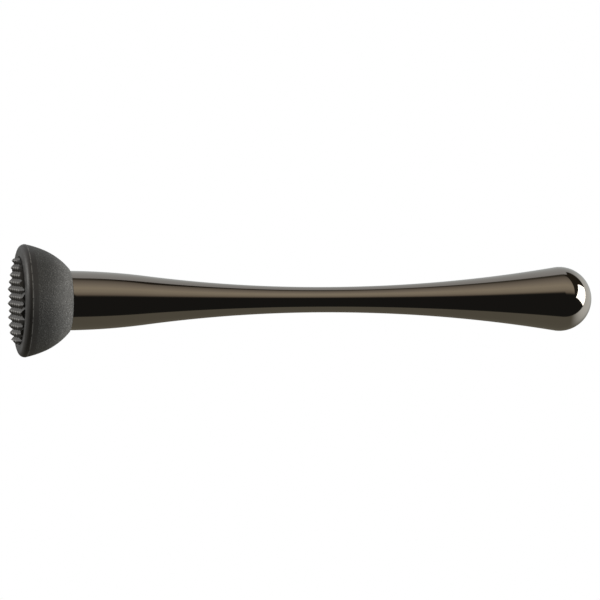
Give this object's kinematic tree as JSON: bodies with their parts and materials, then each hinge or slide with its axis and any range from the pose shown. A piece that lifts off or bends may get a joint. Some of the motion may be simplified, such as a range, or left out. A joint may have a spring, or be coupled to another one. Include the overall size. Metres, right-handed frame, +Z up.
{
  "type": "muddler",
  "caption": "Bar muddler with a waisted polished steel handle, a domed butt and a toothed black plastic head that unscrews.",
  "frame": {"origin": "on the axis, at the middle of the overall length", "axes": "lying down: +X along the axis from the toothed face to the domed butt, +Z up"},
  "size_m": [0.21, 0.0392, 0.0392],
  "materials": {
    "polished_steel": "mirror polished dark steel",
    "turned_steel": "turned",
    "black_nylon": "moulded, fine matte grain",
    "black_silicone": "smooth"
  },
  "bodies": {
    "handle": {"handle_shell": "polished_steel", "butt_cap": "polished_steel", "thread_bush": "turned_steel"},
    "seal": {"seal_ring": "black_silicone"},
    "head": {"head_body": "black_nylon", "head_stud": "turned_steel"}
  },
  "joints": [
    {"name": "head_backs_off", "type": "slide", "parent": "handle", "child": "seal", "axis": [-1, 0, 0], "range_m": [0, 0.01]},
    {"name": "head_unscrews", "type": "hinge", "parent": "seal", "child": "head", "pos_m": [-0.08566, 0, 0], "axis": [-1, 0, 0], "range_deg": [0, 2880]}
  ],
  "couplings": [
    {"joint": "head_backs_off", "follows": "head_unscrews", "m_per_rad": 0.00019894}
  ]
}
